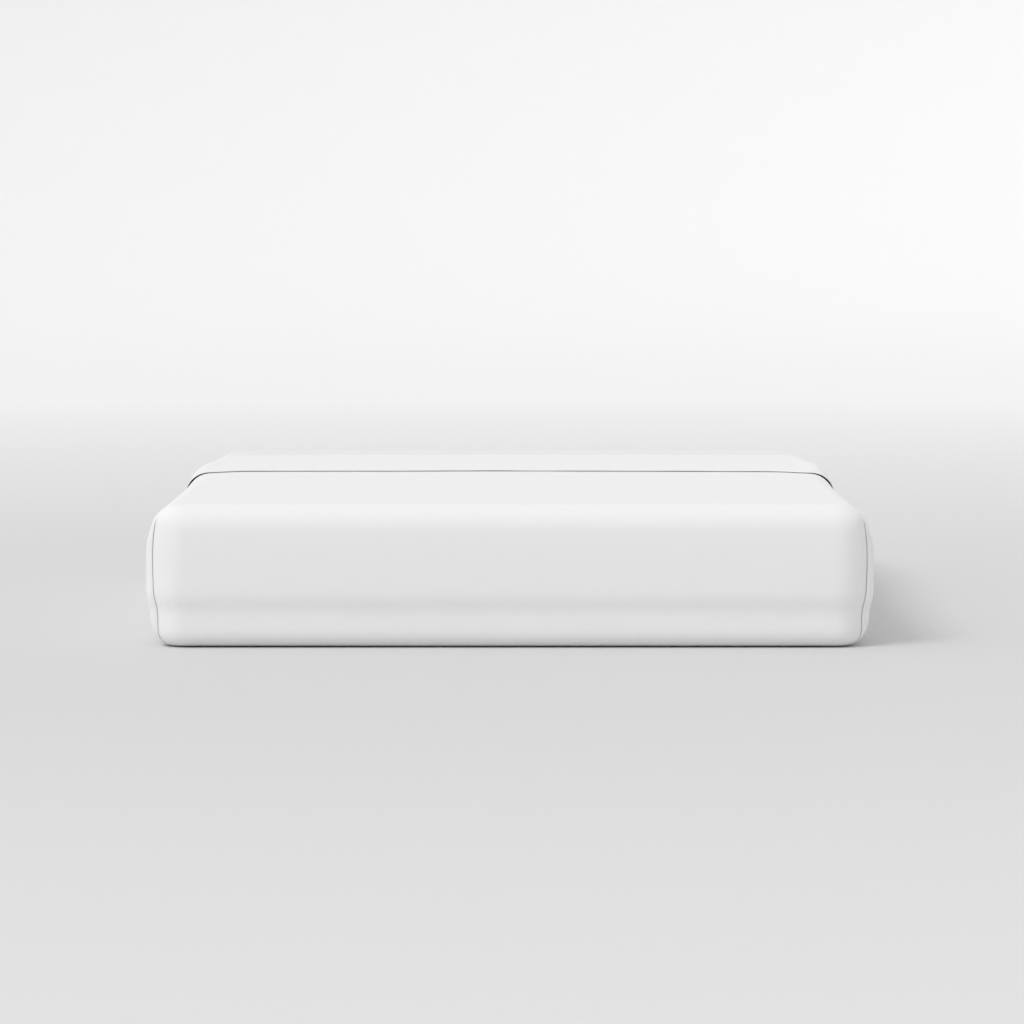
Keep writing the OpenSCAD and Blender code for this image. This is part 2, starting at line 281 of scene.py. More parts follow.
class Cloth:
    """A cloth gathered from grids of points that share their edges."""

    def __init__(self):
        self.points, self.faces, self.uvs, self.count = [], [], [], 0

    def grid(self, points, uv, closed=False, drop=None):
        """Adds points[i, j]. `closed` joins the last i to the first, and faces whose
        `drop[i, j]` is true are left out."""
        ni, nj = points.shape[:2]
        i = np.arange(ni if closed else ni - 1)
        i, j = np.meshgrid(i, np.arange(nj - 1), indexing="ij")
        if drop is not None:
            keep = ~drop[: i.shape[0], : i.shape[1]]
            i, j = i[keep], j[keep]
        i, j = i.ravel(), j.ravel()
        k = (i + 1) % ni
        corners = [(i, j), (i, j + 1), (k, j + 1), (k, j)]
        quads = np.stack([a * nj + b for a, b in corners], axis=1) + self.count
        lifted = np.where((k == 0) & (i > 0), ni, k)  # texture runs on past the join
        steps = np.diff(uv[-2:, :, :], axis=0)
        wide = np.concatenate([uv, uv[-1:] + steps], axis=0)
        places = [(i, j), (i, j + 1), (lifted, j + 1), (lifted, j)]
        self.uvs.append(np.stack([wide[a, b] for a, b in places], axis=1))
        self.points.append(points.reshape(-1, 3))
        self.faces.append(quads)
        self.count += ni * nj

    def lie(self):
        """Gives every grid the unevenness of the foam."""
        for part in self.points:
            lie(part)

    def build(self, name, thickness=0.0, subdivide=1):
        """The piece as a smooth object, welded along shared edges."""
        points, faces = np.vstack(self.points), np.vstack(self.faces)
        mesh = bpy.data.meshes.new(name)
        mesh.from_pydata(points.tolist(), [], faces.tolist())
        layer = mesh.uv_layers.new(name="cloth")
        layer.data.foreach_set("uv", np.vstack(self.uvs).reshape(-1).astype(np.float32))
        bm = bmesh.new()
        bm.from_mesh(mesh)
        bmesh.ops.remove_doubles(bm, verts=bm.verts, dist=WELD)
        bmesh.ops.recalc_face_normals(bm, faces=bm.faces)
        bm.to_mesh(mesh)
        bm.free()
        mesh.shade_smooth()
        piece = placed(name, mesh)
        if subdivide:
            smoother = piece.modifiers.new("smoother", "SUBSURF")
            smoother.levels = smoother.render_levels = subdivide
        if thickness:
            shell = piece.modifiers.new("thickness", "SOLIDIFY")
            shell.thickness = thickness
            shell.offset = 0.0
            shell.use_rim = True
        return piece


# ------------------------------------------------------------------ flat sheet
def graded(start, stop, spacing, fine=None):
    """Even steps from start to stop, made finer near the places in `fine`."""
    at, out = start, [start]
    way = 1 if stop > start else -1
    while (stop - at) * way > 1e-9:
        near = min([abs(at - f) for f in fine or []], default=9)
        at += way * spacing * min(1, 0.2 + near / (8 * spacing))
        out.append(at)
    if abs(out[-2] - stop) < spacing * 0.1:
        out.pop(-2)
    out[-1] = stop
    return np.array(out)


def side_lift(a, height):
    """How far the side's cloth hangs off the mattress: it swells towards the foot
    corner, where it is folded, and it is tight at the top edge and at the tuck."""
    swell = smooth(a, -0.42, -0.02) * FLAP_BELLY
    return swell * (1 - smooth(height, 0.205, 0.283)) * smooth(height, *HANG_Z)


def creases(a, height):
    """Drag lines that fan out from the top of the pleat over the side, and slack
    that runs down to the tuck, never less than 0."""
    a, height = np.broadcast_arrays(a, height)
    down = PLEAT_TOP_Z[1] + 0.005 - height
    away = np.hypot(a, down)
    fan = np.sin(11 * np.arctan2(down, -a) + 9 * away) * np.exp(-((away - 0.10) / 0.06) ** 2)
    slack = noises(a * 8 + height * 5, height * 2.2, 3.7)
    low = smooth(height, 0.015, 0.070) * (1 - smooth(height, 0.10, 0.25))
    side = 1 - smooth(a, -0.030, 0.0)
    return side * (FAN_LIFT * np.maximum(fan, 0) * smooth(height, 0.02, 0.08)
                   * (1 - smooth(height, 0.255, 0.275))
                   + SLACK_LIFT * np.maximum(slack + 0.2, 0) * low)


def flap_edge(place):
    """Perimeter distance of the flap's free edge at each row: it hangs in a bow."""
    z = np.clip(place[:, 1], FLAP_LOW, FLAP_HIGH)
    wall = CORNER_R - SHEET_IN
    out = np.where(place[:, 1] < FLAP_LOW, wall, np.maximum(place[:, 0], 0.95 * wall))
    reach = np.where(z > FLAP_WIDEST, 0.065, 0.110)
    line = FLAP_LINE - FLAP_BOW * ((z - FLAP_WIDEST) / reach) ** 2
    return CORNER_R * np.arccos(np.clip(line / out, 0.80, 0.97))[None, :]


def tucked(height):
    """1 where the cloth lies under the mattress, pressed flat, 0 up its side."""
    return 1 - smooth(height, 0.006, 0.030)


def roll(inward):
    """Height of the flap's soft roll, 0 to 1, at a distance in from its edge."""
    return np.sqrt(1 - (1 - np.clip(inward / FLAP_ROLL, 0, 1)) ** 2)


def hood(a, height):
    """The cloth stands a little proud over the corner, above the top of the pleat."""
    over = smooth(height, 0.255, 0.266) * (1 - smooth(height, 0.278, 0.292))
    return HOOD * over * smooth(a, -0.10, -0.01) * (1 - smooth(a, 0.055, 0.10))


def flap_front(edge, height, steps):
    """The side's cloth as far as the flap's free edge: it bellies out and then rolls
    in to the edge."""
    share = 1 - (1 - np.linspace(0, 1, steps + 1)[:-1, None]) ** 1.5
    a = -PLEAT_REACH + share * (edge + PLEAT_REACH)
    lip = FLAP_UNDER + FLAP_LIP
    swell = np.maximum(side_lift(a, height),
                       PLEAT_LIFT * smooth(height, *HANG_Z) * smooth(a, -0.16, -0.05))
    near = smooth(a, edge - 2 * FLAP_ROLL, edge - FLAP_ROLL)
    swell = swell * (1 - near) + np.maximum(swell, lip) * near
    return a, np.minimum(swell, lip) + np.maximum(swell - lip, 0) * roll(edge - a)


def flap_behind(edge, depth, turn, middle, back):
    """The cloth round the flap's free edge, straight back behind it, and round the
    hidden fold."""
    swing = np.radians(np.linspace(0, 90, turn + 1))[:-1, None]
    a_turn = edge - FLAP_TURN * (1 - np.cos(swing))
    n_turn = FLAP_UNDER + FLAP_LIP - FLAP_LIP * np.sin(swing) + 0 * edge
    share = np.linspace(0, 1, middle + 1)[:-1, None]
    a_middle = edge - FLAP_TURN - share * (depth - FLAP_TURN)
    n_middle = FLAP_UNDER + 0 * a_middle
    swing = np.radians(np.linspace(0, 180, back + 1))[:-1, None]
    a_back = edge - depth - FLAP_UNDER / 2 * np.sin(swing)
    n_back = FLAP_UNDER / 2 + FLAP_UNDER / 2 * np.cos(swing) + 0 * depth
    return np.vstack([a_turn, a_middle, a_back]), np.vstack([n_turn, n_middle, n_back])


def pleat_columns(place):
    """Perimeter distance and offset of the columns through one folded corner, for
    each row of the outline. The spare cloth doubles back under the side's flap:
    side, flap's free edge, back under, and forward again as the foot's cloth."""
    outer, behind, inner = 28, (5, 8, 5), 26
    height = place[None, :, 1]
    edge = flap_edge(place)
    gathered = edge[0, 0] + np.array([-0.004, 0.004])  # where the pleat's layers end
    flat = np.concatenate([np.linspace(-PLEAT_REACH, 0, outer - 7)[:-1],
                           np.linspace(0, gathered[0], 8),
                           np.linspace(*gathered, sum(behind) + 2)[1:-1],
                           np.linspace(gathered[1], QUARTER, inner)])
    drop = np.clip(PLEAT_TOP_Z[0] - height, 0, 1)
    depth = np.minimum(PLEAT_START + PLEAT_SLOPE * drop, PLEAT_DEPTH)
    hidden = edge - depth
    a_front, n_front = flap_front(edge, height, outer)
    a_behind, n_behind = flap_behind(edge, depth, *behind)
    a_inner = hidden + np.linspace(0, 1, inner)[:, None] * (QUARTER - hidden)
    a = np.vstack([a_front, a_behind, a_inner])
    n = np.vstack([n_front, n_behind, 0 * a_inner])
    fold = 1 - smooth(height, PLEAT_TOP_Z[1], PLEAT_TOP_Z[0])
    a = flat[:, None] * (1 - fold) + a * fold
    return a, n * fold * (1 - 0.45 * tucked(height)) + hood(a, height)


def sheet_columns(place, tilt):
    """Perimeter distance and offset of every column of the sheet's hanging edges."""
    height = place[:, 1]
    side_end = -(FOLD_Y + RUN_Y)
    side = graded(side_end, -PLEAT_REACH, 0.030, [side_end, -(HEM_Y + RUN_Y)])[:-1]
    foot = graded(QUARTER, FOOT_MIDDLE, 0.030, [QUARTER])[1:]
    folded, lift = pleat_columns(place)
    rows = np.zeros((1, len(height)))
    right = np.vstack([side[:, None] + rows, folded, foot[:, None] + rows])
    y = -RUN_Y - side[:, None]
    loose = smooth(y, HEM_Y - 0.34, HEM_Y - 0.06) * (1 - smooth(y, 0.30, 0.55))
    side_n = side_lift(side[:, None], height[None, :]) + SHOULDER_LIFT * tilt * loose
    lifts = np.vstack([side_n, lift, np.zeros((len(foot), len(height)))])
    lifts += creases(right, height[None, :])
    left = 2 * FOOT_MIDDLE - right[-2::-1]
    return np.vstack([right, left]), np.vstack([lifts, lifts[-2::-1]])


def sheet_rows():
    """Outline of the sheet down the side and under it, in even rows."""
    return stations(outline(SHEET_IN, SIDE_TUCK - 0.030), 0.0085)


def make_sheet():
    """The sheet as one cloth: top, hanging edges, pleated corners, tucks and cuff."""
    place, normal = sheet_rows()
    a, lift = sheet_columns(place, shoulder(normal)[None, :])
    points = carry(a, place, normal, lift)
    cloth = Cloth()
    at_corner = ((a > 0) & (a < QUARTER)) | ((a > 2 * FOOT_MIDDLE - QUARTER)
                                             & (a < 2 * FOOT_MIDDLE))
    under = (place[:, 0] < 0.004) & (place[:, 1] < 0.02)
    cloth.grid(points, together(a, along(place)), drop=at_corner & under[None, :])
    top = a[:, 0]
    ys = -RUN_Y - top[(top <= 0)]
    xs = RUN_X - (top[(top >= QUARTER) & (top <= 2 * FOOT_MIDDLE - QUARTER)] - QUARTER)
    gx, gy = np.meshgrid(xs, ys, indexing="ij")
    cloth.grid(together(gx, gy, place[0, 1]), together(gx, gy))
    cloth.grid(*cuff_grid(place, normal, xs))
    cloth.lie()
    return cloth.build("flat_sheet_cloth", SHEET_T)


def section_of_cuff(place, normal, xs):
    """Points and normals across the mattress, from tuck to tuck over the top."""
    right = np.column_stack([RUN_X + place[:, 0], place[:, 1]])[::-1]
    right_n = normal[::-1]
    middle = np.column_stack([xs, np.full(len(xs), place[0, 1])])[1:-1]
    middle_n = np.tile([0.0, 1.0], (len(middle), 1))
    mirror = (-1, 1)
    return (np.vstack([right, middle, right[::-1] * mirror]),
            np.vstack([right_n, middle_n, right_n[::-1] * mirror]))


def shoulder(normal):
    """1 where the cloth turns over the top edge, 0 on the flats."""
    return (np.abs(normal[:, 0]) * np.clip(normal[:, 1], 0, 1) * 2) ** 1.2


def hem_place(line, across):
    """Where the hem lies at each point across: it drifts a little and is drawn
    towards the foot over the sides."""
    drift = noises(across * 3.1, 0.7, 2.0)
    out = smooth(np.abs(line[:, 0]), RUN_X - 0.07, RUN_X + 0.06)
    return HEM_Y - 0.006 * drift - HEM_SWEEP * out


def cuff_surface(line, n):
    """The cuff's y and offset from the layer below, over the cloth and down to the
    hem's edge, for each point across."""
    swing = np.radians(np.linspace(0, 180, 7))
    hem = hem_place(line, along(line))
    share = graded(0, 1, CUFF_SPACING, [0, 1])[None, 1:]
    y = FOLD_Y + (hem - FOLD_Y)[:, None] * share
    y = np.hstack([np.tile(FOLD_Y + FOLD_R * np.sin(swing), (len(line), 1)), y])
    run = np.concatenate([np.zeros(7), share[0]])[None, :]
    rise = np.concatenate([FOLD_R * (1 - np.cos(swing)), np.full(share.shape[1], 2 * FOLD_R)])
    settle = smooth(run, 0.0, 0.12)
    stand = rise[None, :] * (1 - settle) + CUFF_STAND * settle
    tilt = shoulder(n)[:, None]
    swell = smooth(run, 0.03, 0.45) * (1 - smooth(run, 0.62, 1.0))
    loose = SHOULDER_LIFT * smooth(run, 0.10, 0.55)
    side = np.clip(np.abs(n[:, :1]), 0, 1) * smooth(line[:, 1:], 0.06, 0.14)
    hang = CUFF_HANG * side * smooth(run, 0.1, 0.8)
    ripple = noises(along(line) * 9.0, 4.0, 1.0)
    lip = (HEM_LIP + HEM_WAVE * ripple[:, None]) * smooth(run, 0.93, 1.0)
    out = stand + tilt * (CUFF_PUFF * swell + loose) + hang + lip
    pressed = tucked(line[:, 1:])
    return y, out * (1 - pressed) + np.minimum(out, PRESSED) * pressed


def cuff_grid(place, normal, xs):
    """The cloth turned back at the fold: it lies on the layer below as far as its
    hem, stands off it at the top edges, and turns under in a hem."""
    line, n = section_of_cuff(place, normal, xs)
    ys, out = cuff_surface(line, n)
    edge_y, edge_out = ys[:, -1:], out[:, -1:]
    swing = np.radians(np.linspace(0, 180, 5))[1:][None, :]
    radius = HEM_R * (1 - 0.5 * tucked(line[:, 1:]))
    turn_y = edge_y - radius * np.sin(swing)
    turn_out = edge_out - radius * (1 - np.cos(swing))
    inside = np.linspace(0, HEM_DEPTH, 5)[1:][None, :]
    ys = np.hstack([ys, turn_y, edge_y + inside])
    out = np.hstack([out, turn_out, edge_out - 2 * radius + 0 * inside])
    points = together(line[:, :1] + out * n[:, :1], ys, line[:, 1:] + out * n[:, 1:])
    run = along(np.column_stack([ys[0], out[0]]))
    return points, together(along(line)[:, None], run)


def hem_stitches(spacing=0.0032):
    """The row of stitches that holds the hem, on the cuff's outer face."""
    place, normal = sheet_rows()
    xs = np.linspace(RUN_X, -RUN_X, 60)
    line, n = section_of_cuff(place, normal, xs)
    ys, out = cuff_surface(line, n)
    want = ys[:, -1] + HEM_DEPTH - 0.002
    lift = np.array([np.interp(-w, -y, o) for w, y, o in zip(want, ys, out)])
    lift += SHEET_T / 2
    path = np.column_stack([line[:, 0] + lift * n[:, 0], want, line[:, 1] + lift * n[:, 1]])
    facing = np.column_stack([n[:, 0], 0 * lift, n[:, 1]])
    above = path[:, 2] > 0.012
    return stitch_row("sheet_hem_stitches", lie(path[above]), facing[above], spacing)


# ------------------------------------------------------------- cover and foam
PANEL_IN = COVER_IN + COVER_T / 2  # middle of the cover's thickness
TOP_SEAM_Z, BOTTOM_SEAM_Z = 0.226, 0.012
CORD_R = 0.0015
SEAM_CLEAR = CORD_R + 0.0003  # a seam's middle to the edge of its cloth
ZIP_Z, ZIP_SLOT = 0.051, 0.010
TAPE_IN = 0.0067
TAPE_T = 0.0008
TAPE_NEAR, TAPE_FAR = 0.0004, 0.014  # its edges' distances from the zip's middle
COIL_IN = 0.0046
COIL_APART = 0.0020
ZIP_OPENING = 0.012  # straight gap between the coil's ends
STOP_X = (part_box("zip_end_stops")[0].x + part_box("zip_end_stops")[1].x) / 2
SLIDER_X = (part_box("slider_body")[0].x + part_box("slider_body")[1].x) / 2
SEAM_STITCH, ZIP_STITCH = 0.0065, 0.0035  # stitch rows' distance from seam and slot
SLEEVE_IN = 0.0078
SLEEVE_T = 0.0008
FOAM_GAP = 0.0002
SKIN_SPACING, SLEEVE_SPACING = 0.0075, 0.0085
FOAM_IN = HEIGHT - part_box("memory_foam_layer")[1].z
HEAD_RUN = 3 * QUARTER + 2 * RUN_X + 2 * RUN_Y  # where the head's straight run starts


def head_at(x):
    """Perimeter distance of a place on the straight head run."""
    return HEAD_RUN + x + RUN_X


def ring_columns(spacing=0.030, corner_steps=14):
    """Perimeter distances all the way round, and how many lie on each run."""
    nx, ny = round(2 * RUN_X / spacing), round(2 * RUN_Y / spacing)
    legs, start = [], 0.0
    for length, steps in ((2 * RUN_X, nx), (2 * RUN_Y, ny)) * 2:
        legs.append(start + np.linspace(0, QUARTER, corner_steps + 1)[:-1])
        start += QUARTER
        legs.append(start + np.linspace(0, length, steps + 1)[:-1])
        start += length
    return np.concatenate(legs), nx, ny


def carried_grid(cloth, a, place, normal, closed=True):
    """Carries an outline to perimeter distances, all round if `closed`."""
    a = a[:, None] + np.zeros((1, len(place)))
    cloth.grid(carry(a, place, normal), together(a, along(place)), closed=closed)


def ring_grid(cloth, place, normal):
    """Carries an outline all round the mattress."""
    carried_grid(cloth, ring_columns()[0], place, normal)


def flat_grid(cloth, height, bulge=None):
    """The flat rectangle between the four corner axes, at one height."""
    _, nx, ny = ring_columns()
    xs, ys = np.linspace(-RUN_X, RUN_X, nx + 1), np.linspace(-RUN_Y, RUN_Y, ny + 1)
    gx, gy = np.meshgrid(xs, ys, indexing="ij")
    z = height + (bulge(gx, gy) if bulge else 0)
    cloth.grid(together(gx, gy, z), together(gx, gy))


def make_top_panel():
    """Knit top panel: flat top, soft edge and the wrap down to its seam."""
    cloth = Cloth()
    skin = between(outline(PANEL_IN), TOP_SEAM_Z + SEAM_CLEAR, HEIGHT)
    place, normal = stations(skin, SKIN_SPACING)
    ring_grid(cloth, place, normal)
    flat_grid(cloth, HEIGHT - PANEL_IN)
    cloth.lie()
    return cloth.build("cover_top_panel_knit", COVER_T)


def make_border(name, low, high):
    """A strip of border cloth between two heights, once round."""
    cloth = Cloth()
    place, normal = stations(between(outline(PANEL_IN), low, high), SKIN_SPACING)
    ring_grid(cloth, place, normal)
    cloth.lie()
    return cloth.build(name, COVER_T)


def floor_bulge(x, y):
    """The bottom panel's middle rests on the floor, below its margin."""
    margin_x = RUN_X + 0.030 - SIDE_TUCK
    margin_foot = -(RUN_Y + 0.030 - FOOT_TUCK)
    across = 1 - smooth(np.abs(x), margin_x - 0.035, margin_x - 0.006)
    lengthwise = smooth(y, margin_foot + 0.006, margin_foot + 0.035)
    return -(COVER_IN - 0.0001) * across * lengthwise


def make_bottom_panel():
    """Non-slip bottom panel with its wrap up to the seam."""
    cloth = Cloth()
    skin = between(outline(PANEL_IN), 0.0, BOTTOM_SEAM_Z - SEAM_CLEAR)
    place, normal = stations(skin, 0.006)
    place = np.vstack([place, [[0, PANEL_IN]]])
    normal = np.vstack([normal, [[0, -1]]])
    ring_grid(cloth, place, normal)
    flat_grid(cloth, PANEL_IN, floor_bulge)
    return cloth.build("cover_bottom_panel_cloth", COVER_T)


def make_foam(name, low, high):
    """One foam block between two heights, with softened cut edges."""
    margin = 0.012  # the cut faces' last row of points lies this far in
    low = max(low, FOAM_IN)
    high = min(high, HEIGHT - FOAM_IN)
    side, _ = stations(between(outline(FOAM_IN), low, high), SKIN_SPACING)
    place = distinct(np.vstack([[[0, high], [side[0, 0] - margin, high]], side,
                                [[side[-1, 0] - margin, low], [0, low]]]))
    cloth = Cloth()
    ring_grid(cloth, place, np.zeros_like(place))
    flat_grid(cloth, high)
    flat_grid(cloth, low)
    cloth.lie()
    return cloth.build(name)


def make_sleeve_end(name, start):
    """The sewn closing piece over one end of the fire barrier."""
    stop = 2 * FOOT_MIDDLE
    columns, _, _ = ring_columns()
    a = np.append(columns[columns <= stop], stop) + start
    cloth = Cloth()
    carried_grid(cloth, a, *stations(outline(SLEEVE_IN), SLEEVE_SPACING), closed=False)
    cloth.lie()
    return cloth.build(name, SLEEVE_T)


def make_sleeve_tube():
    """The fire barrier's knitted tube, open at both ends."""
    across = np.linspace(RUN_X, -RUN_X, 47)
    line, _ = section_of_cuff(*stations(outline(SLEEVE_IN), SLEEVE_SPACING), across)
    bottom = np.column_stack([-across, np.full(len(across), SLEEVE_IN)])[1:-1]
    ring = np.vstack([line, bottom])
    ys = np.linspace(-RUN_Y, RUN_Y, 64)
    points = together(ring[:, None, 0], ys, ring[:, None, 1])
    cloth = Cloth()
    cloth.grid(points, together(along(ring)[:, None], ys), closed=True)
    cloth.lie()
    return cloth.build("fire_sleeve_tube_knit", SLEEVE_T)


# ------------------------------------------------------- cords, tapes and zip
def track(height, inset, a):
    """Centre points at one height all along perimeter distances `a`, with the
    outward and the lengthwise direction there."""
    reach = reach_at(height, inset)
    x, y, c, s = around(a)
    centre = np.column_stack([x + reach * c, y + reach * s, np.full_like(x, height)])
    out = np.column_stack([c, s, np.zeros_like(c)])
    return centre, out, np.column_stack([s, -c, np.zeros_like(c)])


def section(turn, first, second):
    """Directions round a section, from `first` at 0 to `second` at a quarter turn."""
    return (np.cos(turn)[None, :, None] * first[:, None, :]
            + np.sin(turn)[None, :, None] * second[:, None, :])


def make_cord(name, height):
    """A two-ply twisted cord sewn into a seam."""
    pitch, sides, step = 0.0080, 10, 0.0020
    a = np.linspace(0, LOOP, round(LOOP / step), endpoint=False)
    centre, out, _ = track(height, PANEL_IN, a)
    turn = circle(sides)
    ply = 0.80 + 0.20 * np.abs(np.cos(turn[None, :] - math.pi * a[:, None] / pitch))
    r = CORD_R * ply[..., None]
    points = centre[:, None, :] + r * section(turn, out, np.array([[0, 0, 1.0]]))
    return tube(name, points, together(a[:, None], turn * CORD_R))


def tube(name, points, uv, closed=True):
    """Closes rings of points round their section and, if `closed`, end to end."""
    points = np.concatenate([points, points[:, :1]], axis=1)
    step = uv[:, 1:2] - uv[:, :1]
    uv = np.concatenate([uv, uv[:, -1:] + step], axis=1)
    cloth = Cloth()
    cloth.grid(lie(points), uv, closed=closed)
    return cloth.build(name, subdivide=0)


def make_tape(name, low, high):
    """A woven zip tape behind the edge of its border."""
    place, normal = stations(between(outline(TAPE_IN), low, high), 0.004)
    cloth = Cloth()
    ring_grid(cloth, place, normal)
    return cloth.build(name, TAPE_T)


def make_coil(name, height):
    """One side of the zip: a nylon coil, open between the two end stops."""
    pitch, steps, sides, wire = 0.0034, 8, 5, 0.00042
    reach_out, reach_up = 0.00115, 0.0021
    start = head_at(STOP_X) + ZIP_OPENING / 2
    turns = round((LOOP - ZIP_OPENING) / pitch)
    a = start + np.linspace(0, LOOP - ZIP_OPENING, turns * steps + 1)
    centre, out, ahead = track(height, COIL_IN, a)
    spin = 2 * math.pi * np.arange(len(a)) / steps
    out, up = reach_out * out, np.array([0, 0, reach_up])
    radial = np.cos(spin)[:, None] * out + np.sin(spin)[:, None] * up
    round_it = -np.sin(spin)[:, None] * out + np.cos(spin)[:, None] * up
    tangent = unit(round_it * (2 * math.pi / pitch) + ahead)
    side = unit(np.cross(tangent, radial))
    turn = circle(sides)
    ring = wire * section(turn, np.cross(side, tangent), side)
    points = (centre + radial)[:, None, :] + ring
    return tube(name, points, together(a[:, None], turn * wire), closed=False)


def stitch_row(name, path, facing, spacing, length=0.0026, width=0.0006, sink=0.0002):
    """Separate stitches along a path, each a small pointed bead of thread."""
    s = along(path)
    at = np.arange(spacing / 2, s[-1], spacing)
    middle = read_at(path, at)
    out = unit(np.column_stack([np.interp(at, s, column) for column in facing.T]))
    ahead = read_at(path, at + 1e-3) - middle
    ahead /= np.maximum(np.linalg.norm(ahead, axis=1), 1e-9)[:, None]
    side = np.cross(ahead, out)
    corners = [ahead * (-length / 2) - out * sink, side * (-width / 2), out * (width / 2),
               side * (width / 2), -out * (width / 2), ahead * (length / 2) - out * sink]
    points = np.stack([middle + c for c in corners], axis=1).reshape(-1, 3)
    bead = np.array([(0, 1, 2), (0, 2, 3), (0, 3, 4), (0, 4, 1),
                     (5, 2, 1), (5, 3, 2), (5, 4, 3), (5, 1, 4)])
    faces = (bead[None] + 6 * np.arange(len(at))[:, None, None]).reshape(-1, 3)
    mesh = bpy.data.meshes.new(name)
    mesh.from_pydata(points.tolist(), [], faces.tolist())
    mesh.shade_smooth()
    return placed(name, mesh)


def facing_head(path):
    """Straight out of the head end, once for each point of a path."""
    return np.tile([0.0, 1.0, 0.0], (len(path), 1))


def ring_stitches(name, height, spacing=0.0042):
    """A row of topstitching on the cover all the way round."""
    a = np.linspace(0, LOOP, 1400)
    centre, out, _ = track(height, COVER_IN, a)
    return stitch_row(name, lie(centre), out, spacing)


# -------------------------------------------------------------- small pieces
def evenly_shaded(name, bm):
    """A finished bmesh as an object whose flat faces stay flat in the light."""
    piece = from_bmesh(name, bm)
    piece.modifiers.new("even_shading", "WEIGHTED_NORMAL").keep_sharp = True
    return piece


def solid(name, outline_points, thickness, place, bevel=0.0003, holes=()):
    """A flat plate with rounded edges. `outline_points` are (x, z) and the plate is
    centred on `place`, its thickness along Y."""
    bm = bmesh.new()
    edges = []
    for line in (outline_points, *holes):
        ring = [bm.verts.new((x, -thickness / 2, z)) for x, z in line]
        edges += [bm.edges.new((p, q)) for p, q in zip(ring, ring[1:] + ring[:1])]
    made = bmesh.ops.triangle_fill(bm, use_beauty=True, use_dissolve=True, edges=edges)
    faces = [f for f in made["geom"] if isinstance(f, bmesh.types.BMFace)]
    lifted = bmesh.ops.extrude_face_region(bm, geom=faces)
    verts = [v for v in lifted["geom"] if isinstance(v, bmesh.types.BMVert)]
    bmesh.ops.translate(bm, verts=verts, vec=(0, thickness, 0))
    bmesh.ops.recalc_face_normals(bm, faces=bm.faces)
    sharp = [e for e in bm.edges if len(e.link_faces) == 2
             and e.calc_face_angle(0) > math.radians(50)]
    bmesh.ops.bevel(bm, geom=sharp, offset=bevel, segments=3, profile=0.5,
                    affect="EDGES", clamp_overlap=True)
    bmesh.ops.translate(bm, verts=bm.verts, vec=place)
    return evenly_shaded(name, bm)


def join(name, *pieces):
    """Several made objects as one piece of separate closed solids."""
    bm = bmesh.new()
    for piece in pieces:
        bm.from_mesh(piece.data)
        mesh = piece.data
        bpy.data.objects.remove(piece)
        bpy.data.meshes.remove(mesh)
    return evenly_shaded(name, bm)


def rounded(corners, radius, steps=4):
    """Corner points (x, z) given round corners of one radius."""
    out = []
    pts = [Vector(p) for p in corners]
    for k, p in enumerate(pts):
        before = (pts[k - 1] - p).normalized()
        after = (pts[(k + 1) % len(pts)] - p).normalized()
        half = before.angle(after) / 2
        cut = radius / math.tan(half)
        centre = p + (before + after).normalized() * (radius / math.sin(half))
        start, stop = p + before * cut - centre, p + after * cut - centre
        first = math.atan2(start.y, start.x)
        sweep = math.remainder(math.atan2(stop.y, stop.x) - first, 2 * math.pi)
        for j in range(steps + 1):
            turn = first + sweep * j / steps
            out.append((centre.x + radius * math.cos(turn), centre.y + radius * math.sin(turn)))
    return out


def bar(name, half_x, half_z, radius, thickness, place, bevel):
    """A rectangular plate with round corners."""
    corners = [(-half_x, -half_z), (half_x, -half_z), (half_x, half_z), (-half_x, half_z)]
    return solid(name, rounded(corners, radius), thickness, place, bevel)


def make_slider():
    """Shield-shaped front plate, web between the coils and a small back plate."""
    low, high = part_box("slider_body")
    length, width = high.x - low.x, 0.009
    plate_t, back_t = 0.0016, 0.0007
    nose, taper = width * 0.3, -0.0005
    shield = [(-length / 2, -width / 2), (taper, -width / 2), (length / 2, -nose),
              (length / 2, nose), (taper, width / 2), (-length / 2, width / 2)]
    front = solid("plate", rounded(shield, 0.0009), plate_t,
                  (SLIDER_X, high.y - plate_t / 2, ZIP_Z), 0.00035)
    ridge = solid("ridge", rounded([(x * 0.62, z * 0.55) for x, z in shield], 0.0006),
                  0.0005, (SLIDER_X, high.y + 0.00005, ZIP_Z), 0.0002)
    web = bar("web", 0.003, 0.0004, 0.0002, high.y - low.y - 0.0006,
              (SLIDER_X, (low.y + high.y) / 2 - 0.0002, ZIP_Z), 0.0001)
    back = bar("back", 0.005, 0.0014, 0.0005, back_t,
               (SLIDER_X, low.y + back_t / 2, ZIP_Z), 0.00015)
    return join("slider_body_metal", front, ridge, web, back)


def make_crown():
    """The bridge that holds the pull: an arch of flat metal over the plate."""
    low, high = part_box("slider_crown")
    wide, tall = high.x - low.x, high.y - low.y
    metal = 0.0012
    corners = [(-wide / 2, 0), (-wide / 2, tall), (wide / 2, tall), (wide / 2, 0)]
    bends = rounded(corners, 0.0011)[5:15]  # the arch's two far corners are round
    outer = [corners[0], *bends, corners[3]]
    inner = [(x * (wide / 2 - metal) / (wide / 2), z * (tall - metal) / tall)
             for x, z in reversed(outer)]
    piece = solid("slider_crown_metal", outer + inner, high.z - low.z, (0, 0, 0), 0.00025)
    turn = [(v.co.x + SLIDER_X, low.y + v.co.z, ZIP_Z - v.co.y) for v in piece.data.vertices]
    for v, co in zip(piece.data.vertices, turn):
        v.co = co
    piece.data.flip_normals()
    return piece


